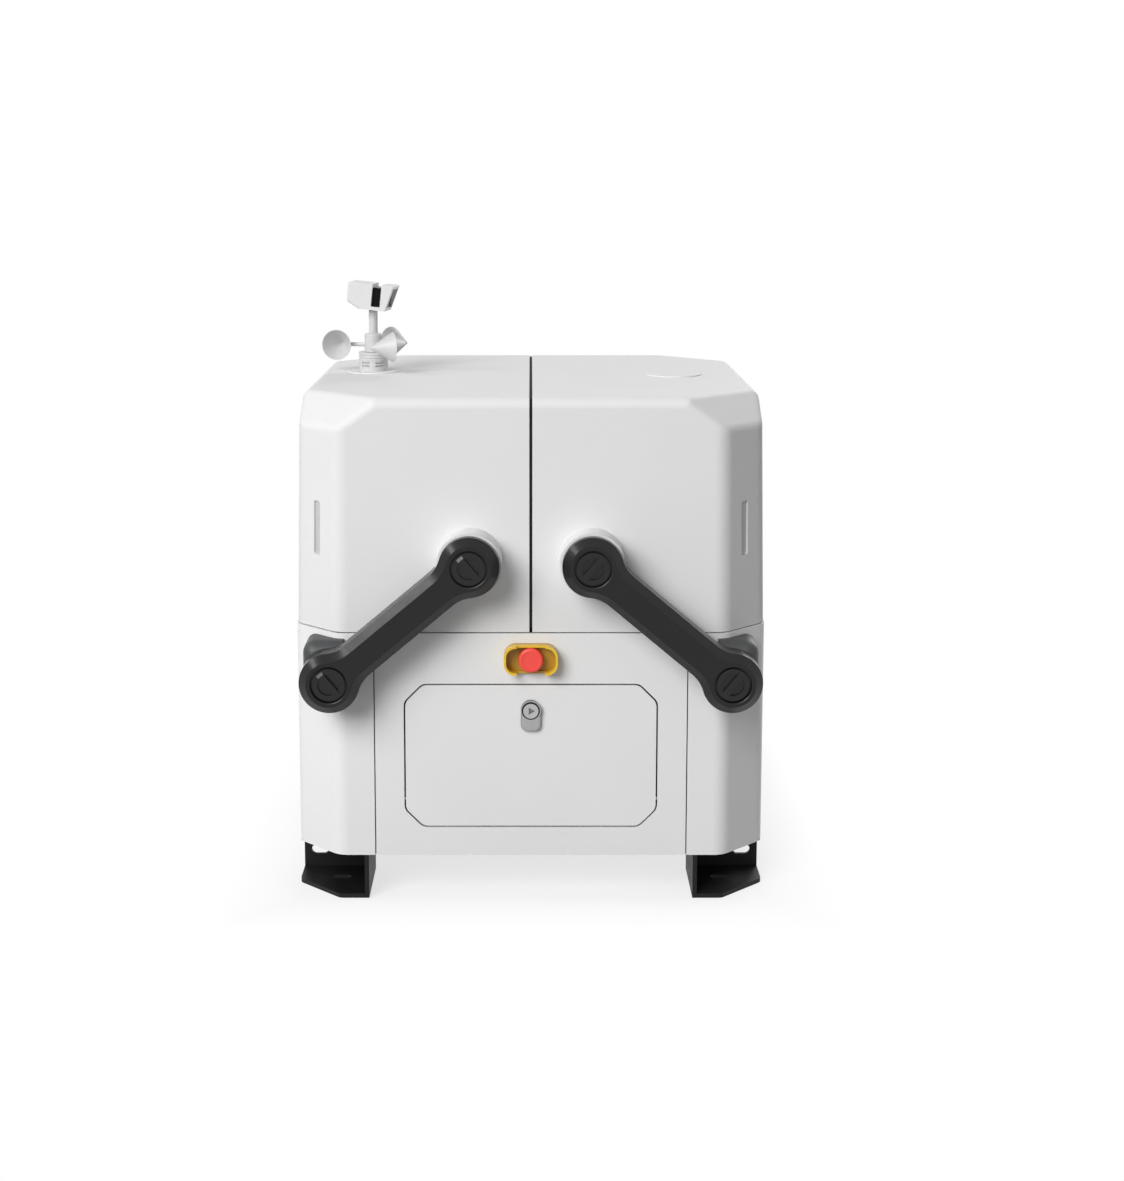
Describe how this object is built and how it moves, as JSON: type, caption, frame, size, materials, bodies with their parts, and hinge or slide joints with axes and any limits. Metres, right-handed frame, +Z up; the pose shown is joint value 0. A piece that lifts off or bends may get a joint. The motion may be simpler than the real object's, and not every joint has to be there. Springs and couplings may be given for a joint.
{
  "type": "drone docking station",
  "caption": "Boxy outdoor docking station for a small drone: cut-corner base on floor brackets, split cover that swings open on black crank arms, cabinet door, stop button, wind gauge.",
  "frame": {"origin": "on the floor under the middle of the object", "axes": "+Z up; -Y to the front with the door; +X to the right as seen from the front"},
  "size_m": [0.64, 0.745, 0.8192],
  "materials": {
    "white_shell": "satin",
    "white_sheet": "satin",
    "black_sheet": "satin",
    "black_arm": "satin",
    "housing_grey": "satin",
    "deck_grey": "matt",
    "pad_black": "matt",
    "ramp_grey": "matt",
    "contact_brass": "polished",
    "seal_black": "matt",
    "steel": "brushed",
    "motor_dark": "cast",
    "zinc_sheet": "zinc plated",
    "module_grey": "anodised",
    "module_black": "matt",
    "guard_yellow": "gloss",
    "stop_red": "gloss",
    "lock_metal": "brushed",
    "light_grey": "diffusing",
    "belt_black": "matt",
    "cap_black": "satin",
    "gauge_white": "satin",
    "lens_black": "gloss"
  },
  "bodies": {
    "base": {"base_floor_pan": "zinc_sheet", "left_side_shell": "white_sheet", "right_side_shell": "white_sheet", "front_panel": "white_sheet", "rear_panel": "white_sheet", "cable_glands": "module_black", "landing_deck": "deck_grey", "landing_pad": "pad_black", "centring_ramps": "ramp_grey", "charging_contacts": "contact_brass", "rim_seal": "seal_black", "front_left_bracket": "black_sheet", "front_right_bracket": "black_sheet", "rear_left_bracket": "black_sheet", "rear_right_bracket": "black_sheet", "bracket_bolts": "steel", "drive_housings": "housing_grey", "shaft_bearings": "contact_brass", "fixed_pulleys": "module_grey", "left_drive_motor": "motor_dark", "right_drive_motor": "motor_dark", "equipment_cabinet": "zinc_sheet", "power_supply": "module_grey", "control_unit": "module_black", "backup_battery": "module_black", "cooling_unit": "module_grey", "estop_guard": "guard_yellow", "estop_contact_block": "module_black"},
    "fan": {"cooling_fan": "module_black"},
    "estop_plunger": {"estop_plunger": "steel"},
    "estop_head": {"estop_head": "stop_red"},
    "door": {"cabinet_door": "white_sheet", "door_hinge_pins": "steel", "lock_housing": "lock_metal"},
    "lock": {"lock_cylinder": "lock_metal", "lock_cam": "steel"},
    "wind_rotor": {"wind_rotor": "gauge_white"},
    "left_arms": {"left_front_arm": "black_arm", "left_rear_arm": "black_arm", "left_drive_shaft": "steel", "left_arm_caps": "cap_black", "left_arm_belts": "belt_black"},
    "left_cover": {"left_cover": "white_shell", "left_cover_axles": "steel", "left_status_lights": "light_grey", "left_centre_seal": "seal_black", "wind_gauge_base": "gauge_white", "camera_mast": "gauge_white", "camera_housing": "gauge_white", "camera_bezel": "gauge_white", "camera_core": "lens_black"},
    "right_arms": {"right_front_arm": "black_arm", "right_rear_arm": "black_arm", "right_drive_shaft": "steel", "right_arm_caps": "cap_black", "right_arm_belts": "belt_black"},
    "right_cover": {"right_cover": "white_shell", "right_cover_axles": "steel", "right_status_lights": "light_grey", "right_centre_seal": "seal_black"}
  },
  "joints": [
    {"name": "left_arm_swing", "type": "hinge", "parent": "base", "child": "left_arms", "pos_m": [-0.265, 0, 0.315], "axis": [0, -1, 0], "range_deg": [0, 150]},
    {"name": "left_cover_level", "type": "hinge", "parent": "left_arms", "child": "left_cover", "pos_m": [-0.081, 0, 0.4695], "axis": [0, -1, 0], "range_deg": [-150, 0]},
    {"name": "right_arm_swing", "type": "hinge", "parent": "base", "child": "right_arms", "pos_m": [0.265, 0, 0.315], "axis": [0, 1, 0], "range_deg": [0, 150]},
    {"name": "right_cover_level", "type": "hinge", "parent": "right_arms", "child": "right_cover", "pos_m": [0.081, 0, 0.4695], "axis": [0, 1, 0], "range_deg": [-150, 0]},
    {"name": "wind_rotor_spin", "type": "hinge", "parent": "left_cover", "child": "wind_rotor", "pos_m": [-0.2335, 0.037, 0.725], "axis": [0, 0, 1], "continuous": true},
    {"name": "fan_spin", "type": "hinge", "parent": "base", "child": "fan", "pos_m": [0, 0.285, 0.206], "axis": [0, 1, 0], "continuous": true},
    {"name": "door_hinge", "type": "hinge", "parent": "base", "child": "door", "pos_m": [0, -0.3, 0.1382], "axis": [1, 0, 0], "range_deg": [0, 100]},
    {"name": "lock_turn", "type": "hinge", "parent": "door", "child": "lock", "pos_m": [0, -0.31, 0.2644], "axis": [0, -1, 0], "range_deg": [0, 90]},
    {"name": "estop_press", "type": "slide", "parent": "base", "child": "estop_plunger", "axis": [0, 1, 0], "range_m": [0, 0.004], "stiffness_N_per_m": 800},
    {"name": "estop_twist", "type": "hinge", "parent": "estop_plunger", "child": "estop_head", "pos_m": [0, -0.323, 0.336], "axis": [0, -1, 0], "range_deg": [0, 45], "stiffness_Nm_per_rad": 0.08}
  ],
  "couplings": [
    {"joint": "left_cover_level", "follows": "left_arm_swing", "ratio": -1},
    {"joint": "right_cover_level", "follows": "right_arm_swing", "ratio": -1}
  ]
}
